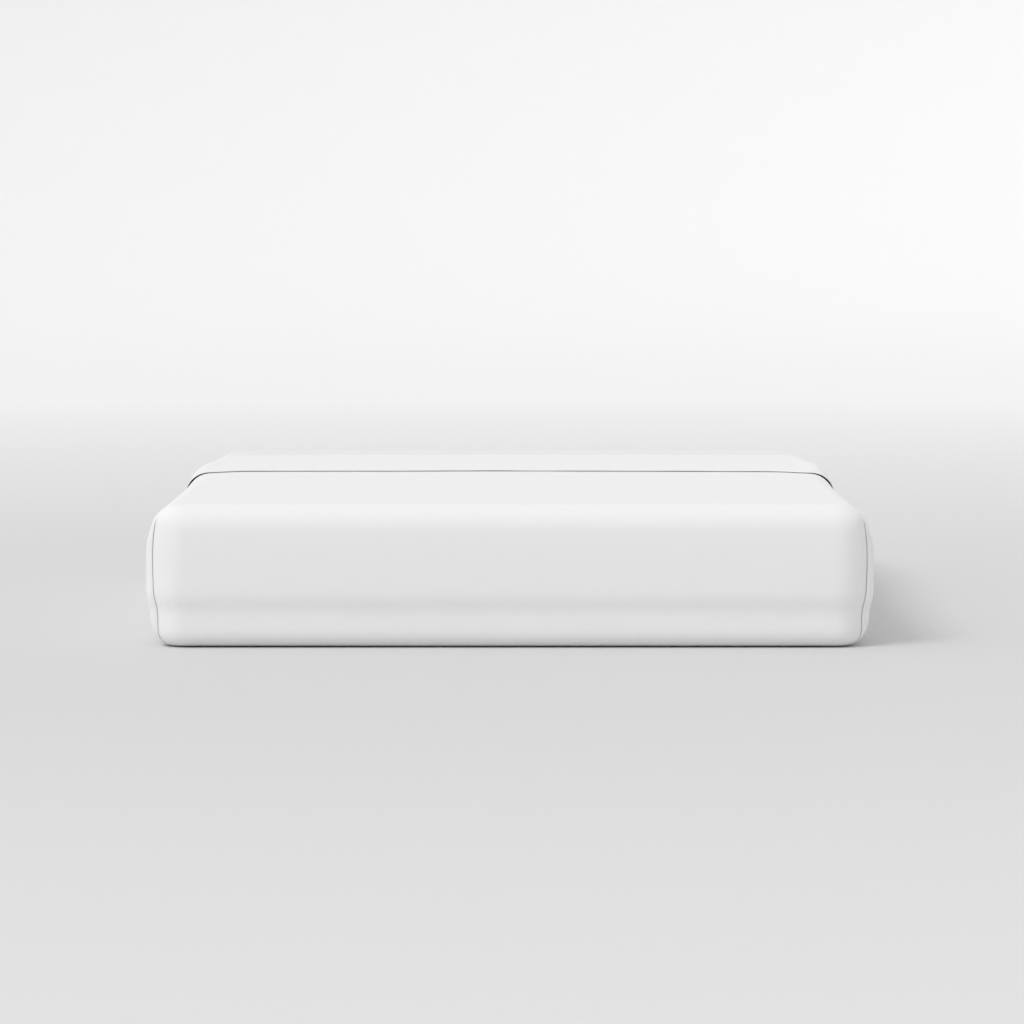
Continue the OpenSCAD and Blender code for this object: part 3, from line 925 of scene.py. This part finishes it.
def make_pull():
    """Fork-shaped pull tab with a hole at its end, and the cross pin."""
    low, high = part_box("pull_tab")
    pin_r, hole_r = 0.0008, 0.0020
    pin_x, half = SLIDER_X, 0.0040
    arm_in, arm_out, arm_l = 0.0019, 0.0033, 0.0070
    end = low.x - pin_x
    fork = [(end, -half), (-arm_l - 0.001, -half), (-arm_l + 0.001, -arm_out), (pin_r, -arm_out),
            (pin_r, -arm_in), (-arm_l, -arm_in), (-arm_l, arm_in), (pin_r, arm_in),
            (pin_r, arm_out), (-arm_l + 0.001, arm_out), (-arm_l - 0.001, half), (end, half)]
    hole = [(end + 0.0045 + hole_r * math.cos(t), hole_r * math.sin(t)) for t in circle(28)]
    middle_y = (low.y + high.y) / 2
    tab = solid("tab", rounded(fork, 0.0003), 0.0015, (pin_x, middle_y, ZIP_Z), 0.0003, [hole])
    grip = bar("grip", 0.0075, 0.0026, 0.0016, 0.0006,
               (pin_x + end / 2 - 0.0010, high.y - 0.0001, ZIP_Z), 0.00025)
    pin = make_pin("pin", pin_r, 2 * arm_out, (pin_x, middle_y, ZIP_Z))
    return join("pull_tab_metal", tab, grip, pin)


def lathe(bm, profile, steps):
    """Adds a profile of (radius, height) turned about Z, and returns its rings."""
    rings = [[bm.verts.new((r * math.cos(t), r * math.sin(t), z)) for t in circle(steps)]
             for r, z in profile]
    for low, high in zip(rings, rings[1:]):
        for k in range(steps):
            n = (k + 1) % steps
            bm.faces.new((low[k], high[k], high[n], low[n]))
    return rings


def make_pin(name, r, length, place):
    """A short round pin along Z with rounded ends."""
    ends = [(r * math.sin(t), length / 2 - r * 0.4 * (1 - math.cos(t)))
            for t in np.radians([12, 40, 65, 90])]
    profile = ends + [(q, -z) for q, z in reversed(ends)]
    bm = bmesh.new()
    rings = lathe(bm, profile, 24)
    bm.faces.new(rings[0])
    bm.faces.new(rings[-1][::-1])
    bmesh.ops.recalc_face_normals(bm, faces=bm.faces)
    bmesh.ops.translate(bm, verts=bm.verts, vec=place)
    return from_bmesh(name, bm)


def make_stops():
    """The two crimped metal stops at the zip's ends."""
    low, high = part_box("zip_end_stops")
    half, nip, nip_z, top = 0.0015, 0.0011, 0.0012, (high.z - low.z) / 2
    nipped = [(-half, -top), (half, -top), (half, -nip_z), (nip, 0), (half, nip_z),
              (half, top), (-half, top), (-half, nip_z), (-nip, 0), (-half, -nip_z)]
    made = [solid("stop", nipped, high.y - low.y, (x, (low.y + high.y) / 2, ZIP_Z), 0.0004)
            for x in (low.x + half, high.x - half)]
    return join("zip_end_stops_metal", *made)


def make_garage():
    """A small sewn pocket over the end of the zip, open towards the slider."""
    low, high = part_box("zip_garage")
    p, q = np.meshgrid(np.linspace(0, 1, 26), np.linspace(-1, 1, 29), indexing="ij")
    dome = (1 - np.abs(q) ** 3.2) ** 0.8
    along_it = (1 - smooth(p, 0.55, 0.94)) * (0.90 + 0.10 * smooth(p, 0, 0.2))
    height = (high.z - low.z) / 2
    x = low.x + p * (high.x - low.x)
    z = ZIP_Z + q * height
    rest = RUN_Y + reach_at(z, COVER_IN)
    y = rest + 0.0009 + (high.y - low.y - 0.0028) * dome * along_it
    cloth = Cloth()
    cloth.grid(together(x, y, z), together(x, z))
    return cloth.build("zip_garage_cloth", 0.0009)


def garage_stitches():
    """Stitching down both long edges and across the closed end of the pocket."""
    low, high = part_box("zip_garage")
    edge = 0.0016
    corners = [(low.x, low.z + edge), (high.x - edge, low.z + edge),
               (high.x - edge, high.z - edge), (low.x, high.z - edge)]
    path = []
    for (x0, z0), (x1, z1) in zip(corners, corners[1:]):
        for t in np.linspace(0, 1, 12, endpoint=False):
            z = z0 + (z1 - z0) * t
            y = RUN_Y + reach_at(z, COVER_IN) + 0.0016
            path.append((x0 + (x1 - x0) * t, y, z))
    path = np.array(path)
    return stitch_row("zip_garage_stitches", path, facing_head(path),
                      0.0030, 0.0020, 0.0005)


def label_surface(p, q):
    """Where the care label hangs: p runs across it and q down it, both 0 to 1."""
    low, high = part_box("care_label")
    x = low.x + p * (high.x - low.x)
    z = high.z - q * (high.z - low.z)
    curl = 0.0026 * q ** 3 * (1 - 0.5 * p) + 0.0007 * np.sin(3.0 * p + 1.0) * q ** 1.5
    y = (low.y + high.y) / 2 + 0.0002 + curl
    return together(x, y, z)


def make_label():
    """The blank care label."""
    p, q = np.meshgrid(np.linspace(0, 1, 22), np.linspace(0, 1, 30), indexing="ij")
    cloth = Cloth()
    points = label_surface(p, q)
    cloth.grid(points, points[..., [0, 2]])
    return cloth.build("care_label_cloth", 0.0004)


def label_stitches():
    """The row of stitches across the label's top."""
    p = np.linspace(0.03, 0.97, 40)
    path = label_surface(p, np.full_like(p, 0.045)) + np.array([0, 0.0003, 0])
    return stitch_row("care_label_stitches", path, facing_head(path),
                      0.0028, 0.0019, 0.0005)


# ------------------------------------------------------------------ materials
def feed(tree, socket, value):
    """Links a socket to another node's output, or sets its number or colour."""
    if isinstance(value, bpy.types.NodeSocket):
        tree.links.new(value, socket)
    else:
        socket.default_value = value


def add_node(tree, kind, inputs, output=0, **settings):
    """A new node with its inputs fed, returned as one of its outputs."""
    made = tree.nodes.new(kind)
    for key, value in settings.items():
        setattr(made, key, value)
    for key, value in inputs.items():
        feed(tree, made.inputs[key], value)
    return made.outputs[output]


class Look:
    """A material and short calls that add its nodes."""

    def __init__(self, name, colour, roughness, sheen=0.0, sheen_roughness=0.5, metallic=0.0):
        self.made = bpy.data.materials.new(name)
        self.made.use_nodes = True
        self.tree = self.made.node_tree
        self.colour = colour
        self.put("Base Color", (*colour, 1))
        self.put("Roughness", roughness)
        self.put("Metallic", metallic)
        self.put("Sheen Weight", sheen)
        self.put("Sheen Roughness", sheen_roughness)

    def put(self, socket, value):
        """Feeds one input of the material's shader."""
        feed(self.tree, self.tree.nodes["Principled BSDF"].inputs[socket], value)

    def node(self, kind, inputs, output=0, **settings):
        return add_node(self.tree, kind, inputs, output, **settings)

    def math(self, operation, a, b=0.0, c=0.0):
        return self.node("ShaderNodeMath", {0: a, 1: b, 2: c}, operation=operation)

    def times(self, a, b):
        return self.math("MULTIPLY", a, b)

    def mixed(self, a, share, b, other):
        """a * share + b * other."""
        return self.math("MULTIPLY_ADD", a, share, self.times(b, other))

    def lifted(self, wave):
        """A wave of -1 to 1 as a height of 0 to 1."""
        return self.math("MULTIPLY_ADD", wave, 0.5, 0.5)

    def sine(self, value, turns=1):
        """Sine of a length in metres, so many turns to the metre."""
        return self.math("SINE", self.times(value, 2 * math.pi * turns))

    def place(self):
        """The object's own space."""
        return self.node("ShaderNodeTexCoord", {}, "Object")

    def thread_axes(self):
        """Distance across and along the cloth, in metres."""
        uv = self.node("ShaderNodeUVMap", {}, uv_map="cloth")
        split = self.node("ShaderNodeSeparateXYZ", {0: uv}).node
        return split.outputs[0], split.outputs[1]

    def blotch(self, scale, detail=3.0):
        """Soft noise from 0 to 1, `scale` to the metre."""
        return self.node("ShaderNodeTexNoise",
                         {"Vector": self.place(), "Scale": scale, "Detail": detail})

    def streaks(self, place):
        """Noise in a space that is already scaled."""
        return self.node("ShaderNodeTexNoise", {"Vector": place, "Scale": 1.0})

    def cells(self, scale, feature="F1"):
        """Distance from the nearest of scattered points, `scale` to the metre."""
        return self.node("ShaderNodeTexVoronoi", {"Vector": self.place(), "Scale": scale},
                         "Distance", feature=feature)

    def plain_weave(self, threads):
        """Over-and-under height of a plain weave, 0 to 1."""
        u, v = self.thread_axes()
        return self.lifted(self.times(self.sine(u, threads / 2), self.sine(v, threads / 2)))

    def rough(self, value, low, high):
        """Roughness from low to high as a value goes from 0 to 1."""
        self.put("Roughness", self.node("ShaderNodeMapRange",
                                        {"Value": value, "To Min": low, "To Max": high}))

    def tint(self, value, dark):
        """The colour, darkened by the share `dark` where the value is 0."""
        ends = [(*(c * (1 - share) for c in self.colour), 1) for share in (dark, 0)]
        self.put("Base Color", self.node("ShaderNodeMix", {
            "Factor": value, "A": ends[0], "B": ends[1]}, "Result", data_type="RGBA"))

    def shade_hollows_and_mottle(self, height, share, scale, other, dark):
        """Tints by a height and by blotches of a scale, each with its share: where the height is
        low, as in the hollows of a relief, it is painted darker as shade, and the blotches give
        a random tone.
        """
        self.tint(self.mixed(height, share, self.blotch(scale), other), dark)

    def bump(self, height, distance, strength, under=None):
        """Adds relief, on top of the relief `under`."""
        inputs = {"Strength": strength, "Distance": distance, "Height": height}
        if under is not None:
            inputs["Normal"] = under
        made = self.node("ShaderNodeBump", inputs)
        self.put("Normal", made)
        return made


def cotton_look():
    """Fine white percale: a smooth plain weave with a few thicker threads."""
    look = Look("sheet_cotton", (0.885, 0.885, 0.883), 0.72, 0.18, 0.55)
    u, v = look.thread_axes()
    slubs = look.streaks(look.node("ShaderNodeCombineXYZ", {
        0: look.times(u, 900), 1: look.times(v, 14), 2: 0.0}))
    look.shade_hollows_and_mottle(slubs, 0.5, 26, 0.5, 0.022)
    look.rough(look.blotch(9), 0.66, 0.78)
    soft = look.bump(look.blotch(38, 4.0), 0.0012, 0.10)
    fine = look.bump(look.plain_weave(2400), 0.00012, 0.35, soft)
    look.bump(slubs, 0.00010, 0.25, fine)
    return look.made


def knit_look(name, colour, wales, dark=0.05):
    """Jersey face: columns of small interlocked V stitches."""
    look = Look(name, colour, 0.82, 0.30, 0.6)
    u, v = look.thread_axes()
    column = look.math("FRACT", look.times(u, wales))
    slant = look.math("ABSOLUTE", look.math("SUBTRACT", column, 0.5))
    stitch = look.lifted(look.sine(look.mixed(v, wales * 1.25, slant, 0.9)))
    rib = look.math("SINE", look.times(column, math.pi))
    height = look.times(look.math("MULTIPLY_ADD", stitch, 0.6, 0.4), rib)
    # The hollows between the stitches are painted darker as shade; the blotches are a random
    # tone.
    look.shade_hollows_and_mottle(height, 0.6, 60, 0.4, dark)
    look.rough(look.blotch(30), 0.76, 0.88)
    soft = look.bump(look.blotch(45), 0.0010, 0.25)
    look.bump(height, 0.0003, 0.7, soft)
    return look.made


def spacer_look():
    """Border fabric: a spacer knit with rows of small round dimples."""
    look = Look("border_knit", (0.70, 0.70, 0.705), 0.85, 0.22, 0.6)
    rows_per_metre, slope = 250, 0.58
    u, v = look.thread_axes()
    leaning = look.times(v, slope)
    dimple = look.times(look.sine(look.math("ADD", u, leaning), rows_per_metre),
                        look.sine(look.math("SUBTRACT", u, leaning), rows_per_metre))
    bowl = look.math("POWER", look.lifted(dimple), 0.6)
    # The dimples are painted darker as shade in them; the blotches are a random tone.
    look.shade_hollows_and_mottle(bowl, 0.75, 50, 0.25, 0.20)
    look.rough(look.blotch(24), 0.80, 0.90)
    soft = look.bump(bowl, 0.0009, 0.8)
    look.bump(look.plain_weave(1800), 0.00015, 0.5, soft)
    return look.made


def base_look():
    """Non-slip base: a grey plain weave with rows of small raised rubber dots."""
    look = Look("base_cloth", (0.36, 0.365, 0.37), 0.9, 0.12)
    rows_per_metre = 90
    u, v = look.thread_axes()
    grid = look.times(look.sine(u, rows_per_metre), look.sine(v, rows_per_metre))
    peaks = look.math("MAXIMUM", look.math("SUBTRACT", grid, 0.55), 0.0)
    dot = look.math("SMOOTH_MIN", look.times(peaks, 4.0), 1.0, 0.2)
    look.tint(look.math("SUBTRACT", 1.0, dot), 0.35)
    look.rough(dot, 0.92, 0.55)
    weave = look.bump(look.plain_weave(900), 0.0003, 0.6)
    look.bump(dot, 0.0006, 0.9, weave)
    return look.made


def foam_look(name, colour, cells):
    """Open-cell foam: fine round pores and a faint mottle."""
    look = Look(name, colour, 0.93, 0.05)
    height = look.mixed(look.cells(cells), 0.7, look.cells(cells * 2.3), 0.4)
    # The pores are painted darker as shade in them; the blotches are a random tone.
    look.shade_hollows_and_mottle(height, 1.2, 35, 0.3, 0.14)
    look.rough(look.blotch(60), 0.88, 0.97)
    look.bump(height, 0.0005, 0.8)
    return look.made


def tape_look():
    """Herringbone tape: slanted ribs that turn back at every few threads."""
    look = Look("zip_tape", (0.68, 0.68, 0.68), 0.80, 0.15)
    u, v = look.thread_axes()
    zigzag = look.math("PINGPONG", look.times(v, 500), 1.0)
    height = look.lifted(look.sine(look.math("ADD", look.times(u, 1400), zigzag)))
    # The grooves between the ribs are painted darker as shade; the blotches are a random tone.
    look.shade_hollows_and_mottle(height, 0.7, 80, 0.3, 0.18)
    look.rough(height, 0.74, 0.86)
    look.bump(height, 0.00025, 0.8)
    return look.made


def nylon_look():
    """The coil's nylon: smooth and a little shiny, faintly uneven."""
    look = Look("zip_coil", (0.64, 0.64, 0.64), 0.38)
    look.put("IOR", 1.53)
    look.tint(look.blotch(400), 0.12)
    look.rough(look.blotch(250), 0.32, 0.48)
    look.bump(look.blotch(2500), 0.00006, 0.4)
    return look.made


def metal_look():
    """Nickel-coloured zinc, brushed along X."""
    look = Look("zip_metal", (0.62, 0.61, 0.60), 0.34, metallic=1.0)
    streaks = look.streaks(look.node("ShaderNodeMapping", {
        "Vector": look.place(), "Scale": (120, 3800, 3800)}))
    look.shade_hollows_and_mottle(streaks, 0.6, 500, 0.4, 0.22)
    look.rough(streaks, 0.24, 0.46)
    look.bump(streaks, 0.00004, 0.5)
    return look.made


def thread_look(name, colour):
    """Spun thread or cord: fine twisted fibres."""
    look = Look(name, colour, 0.78, 0.25, 0.5)
    u, v = look.thread_axes()
    height = look.lifted(look.sine(look.math("ADD", u, v), 1600))
    # The grooves of the twist are painted darker as shade; the blotches are a random tone.
    look.shade_hollows_and_mottle(height, 0.5, 300, 0.5, 0.16)
    look.rough(look.blotch(200), 0.70, 0.85)
    look.bump(height, 0.00012, 0.6)
    return look.made


def label_look():
    """Non-woven label cloth: a fine random grain and a dull satin face."""
    look = Look("label_cloth", (0.80, 0.80, 0.78), 0.62, 0.10)
    grain = look.cells(900, "SMOOTH_F1")
    look.shade_hollows_and_mottle(grain, 0.8, 120, 0.4, 0.10)
    look.rough(look.blotch(90), 0.54, 0.70)
    look.bump(grain, 0.00012, 0.5)
    return look.made


def floor_look():
    """Pale studio floor with painted shade round the mattress, which fades out so that it grows
    paler towards the backdrop.
    """
    look = Look("studio_floor", (0.88, 0.88, 0.88), 0.85)
    reach = look.node("ShaderNodeVectorMath", {0: look.place()}, "Value", operation="LENGTH")
    # Painted shade: darker within 2 m of the mattress, fading out by 10 m.
    look.tint(look.node("ShaderNodeMapRange", {
        "Value": reach, "From Min": 2.0, "From Max": 10.0}), 0.22)
    return look.made


# --------------------------------------------------------------------- pieces
LOOKS = {
    "memory_foam": foam_look("memory_foam", (0.80, 0.86, 0.90), 700),
    "transition_foam": foam_look("transition_foam", (0.62, 0.72, 0.78), 560),
    "support_foam": foam_look("support_foam", (0.84, 0.81, 0.73), 420),
    "fire_knit": knit_look("fire_knit", (0.84, 0.80, 0.68), 420, 0.10),
    "top_knit": knit_look("top_knit", (0.87, 0.87, 0.875), 800),
    "border_knit": spacer_look(),
    "base_cloth": base_look(),
    "seam_cord": thread_look("seam_cord", (0.84, 0.84, 0.83)),
    "zip_tape": tape_look(),
    "zip_coil": nylon_look(),
    "zip_metal": metal_look(),
    "label_cloth": label_look(),
    "sheet_cotton": cotton_look(),
}


def finish_piece(piece, slot, body, *nodes):
    """Gives a piece the material of its slot, puts it on its body and hides the CAD nodes it
    stands for.
    """
    piece.data.materials.clear()
    piece.data.materials.append(LOOKS[slot])
    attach(piece, body)
    if nodes:
        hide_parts(*nodes)
    return piece


def on_mattress(piece, slot, *nodes):
    return finish_piece(piece, slot, "mattress", *nodes)


def make_cover():
    """The zipped cover: two panels, two borders, seam cords and topstitching."""
    slot_low, slot_high = ZIP_Z - ZIP_SLOT / 2, ZIP_Z + ZIP_SLOT / 2
    top = on_mattress(make_top_panel(), "top_knit", "cover_top_panel")
    for name, low, high in (
            ("cover_upper_border", slot_high, TOP_SEAM_Z - SEAM_CLEAR),
            ("cover_lower_border", BOTTOM_SEAM_Z + SEAM_CLEAR, slot_low)):
        border = on_mattress(make_border(name + "_knit", low, high), "border_knit", name)
    bottom = on_mattress(make_bottom_panel(), "base_cloth", "cover_bottom_panel")
    for side, height in (("top", TOP_SEAM_Z), ("bottom", BOTTOM_SEAM_Z)):
        on_mattress(make_cord(side + "_seam_twisted_cord", height), "seam_cord",
                    side + "_seam_cord")
    for name, height in (("zip_stitches_upper", slot_high + ZIP_STITCH),
                         ("zip_stitches_lower", slot_low - ZIP_STITCH),
                         ("seam_stitches_top", TOP_SEAM_Z + SEAM_STITCH),
                         ("seam_stitches_border", TOP_SEAM_Z - SEAM_STITCH)):
        on_mattress(ring_stitches(name, height), "seam_cord")


def make_zip():
    """The zip with its garage, slider and pull, and the care label beside it."""
    sides = (("upper", 1), ("lower", -1))
    for side, way in sides:
        edges = [ZIP_Z + way * TAPE_NEAR, ZIP_Z + way * TAPE_FAR]
        on_mattress(make_tape(f"zip_{side}_tape_woven", *sorted(edges)),
                    "zip_tape", f"zip_{side}_tape")
    for side, way in sides:
        on_mattress(make_coil(f"zip_{side}_coil_teeth", ZIP_Z + way * COIL_APART),
                    "zip_coil", f"zip_{side}_coil")
    on_mattress(make_stops(), "zip_metal", "zip_end_stops")
    on_mattress(make_garage(), "border_knit", "zip_garage")
    on_mattress(garage_stitches(), "seam_cord")
    label = on_mattress(make_label(), "label_cloth", "care_label")
    on_mattress(label_stitches(), "seam_cord")
    finish_piece(make_slider(), "zip_metal", "zip_slider", "slider_body")
    finish_piece(make_crown(), "zip_metal", "zip_slider", "slider_crown")
    finish_piece(make_pull(), "zip_metal", "zip_pull", "pull_tab")


def make_inside():
    """Three foam blocks in the knitted fire barrier."""
    core_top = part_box("support_foam_core")[1].z
    layer_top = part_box("transition_foam_layer")[1].z
    for kind, node, low, high in (
            ("memory_foam", "memory_foam_layer", layer_top + FOAM_GAP, HEIGHT),
            ("transition_foam", "transition_foam_layer", core_top + FOAM_GAP,
             layer_top - FOAM_GAP),
            ("support_foam", "support_foam_core", 0, core_top - FOAM_GAP)):
        on_mattress(make_foam(kind + "_block", low, high), kind, node)
    tube_piece = on_mattress(make_sleeve_tube(), "fire_knit", "fire_sleeve_tube")
    for node, start in (("fire_sleeve_foot_end", 0), ("fire_sleeve_head_end", LOOP / 2)):
        end = on_mattress(make_sleeve_end(node + "_knit", start), "fire_knit", node)


def make_bedding():
    """The one flat sheet, and the stitches that hold its hem."""
    cloth = on_mattress(make_sheet(), "sheet_cotton", "flat_sheet")
    thread = on_mattress(hem_stitches(), "sheet_cotton")


# ----------------------------------------------------------- camera and light
def make_camera():
    """A long lens, level with the room and tipped down on the foot end."""
    lens_px = 4100
    picture_px = 1024
    sensor_mm = 36
    aside, distance, eye_height = 0.0045, 8.600, 0.934
    horizon_px = 307  # the horizon's height above the middle of the picture
    data = bpy.data.cameras.new("camera")
    data.sensor_width = sensor_mm
    data.lens = lens_px / picture_px * sensor_mm
    data.clip_end = 200
    camera = placed("camera", data)
    camera.location = (aside, -HALF_L - distance, eye_height)
    tip = math.atan(horizon_px / lens_px)
    camera.rotation_euler = (math.pi / 2 - tip, 0, 0)
    bpy.context.scene.camera = camera


def make_stage():
    """A pale floor that turns up into an even backdrop far outside the cameras."""
    rim, bend, top = 22.0, 5.0, 7
    profile = [(3, 0), (8, 0), (rim - bend, 0)]
    profile += [(rim - bend + bend * math.sin(t), bend - bend * math.cos(t))
                for t in np.radians(np.linspace(10, 90, 9))]
    profile.append((rim, top))
    bm = bmesh.new()
    rings = lathe(bm, profile, 96)
    middle = bm.verts.new((0, 0, 0))
    for here, after in zip(rings[0], rings[0][1:] + rings[0][:1]):
        bm.faces.new((middle, here, after))
    floor = from_bmesh("studio_floor", bm)
    floor.data.materials.append(floor_look())


def make_light():
    """Soft studio sky, brighter on the left, and one broad, far light from there."""
    left_strength, right_strength = 1.08, 0.48
    key_way = (0.50, 0.42, -0.75)
    world = bpy.data.worlds.new("studio")
    world.use_nodes = True
    tree = world.node_tree
    way = add_node(tree, "ShaderNodeTexCoord", {}, "Generated")
    across = add_node(tree, "ShaderNodeSeparateXYZ", {0: way})
    strength = add_node(tree, "ShaderNodeMapRange", {
        "Value": across, "From Min": -1, "From Max": 1,
        "To Min": left_strength, "To Max": right_strength})
    feed(tree, tree.nodes["Background"].inputs["Strength"], strength)
    feed(tree, tree.nodes["Background"].inputs["Color"], (1, 1, 1, 1))
    bpy.context.scene.world = world
    data = bpy.data.lights.new("key", "SUN")
    data.energy = 0.95
    data.angle = math.radians(24)
    key = placed("key", data)
    key.rotation_euler = Vector(key_way).to_track_quat("-Z", "Y").to_euler()
    bpy.context.scene.view_settings.view_transform = "Standard"


make_camera()
make_stage()
make_light()
make_bedding()
make_cover()
make_zip()
make_inside()
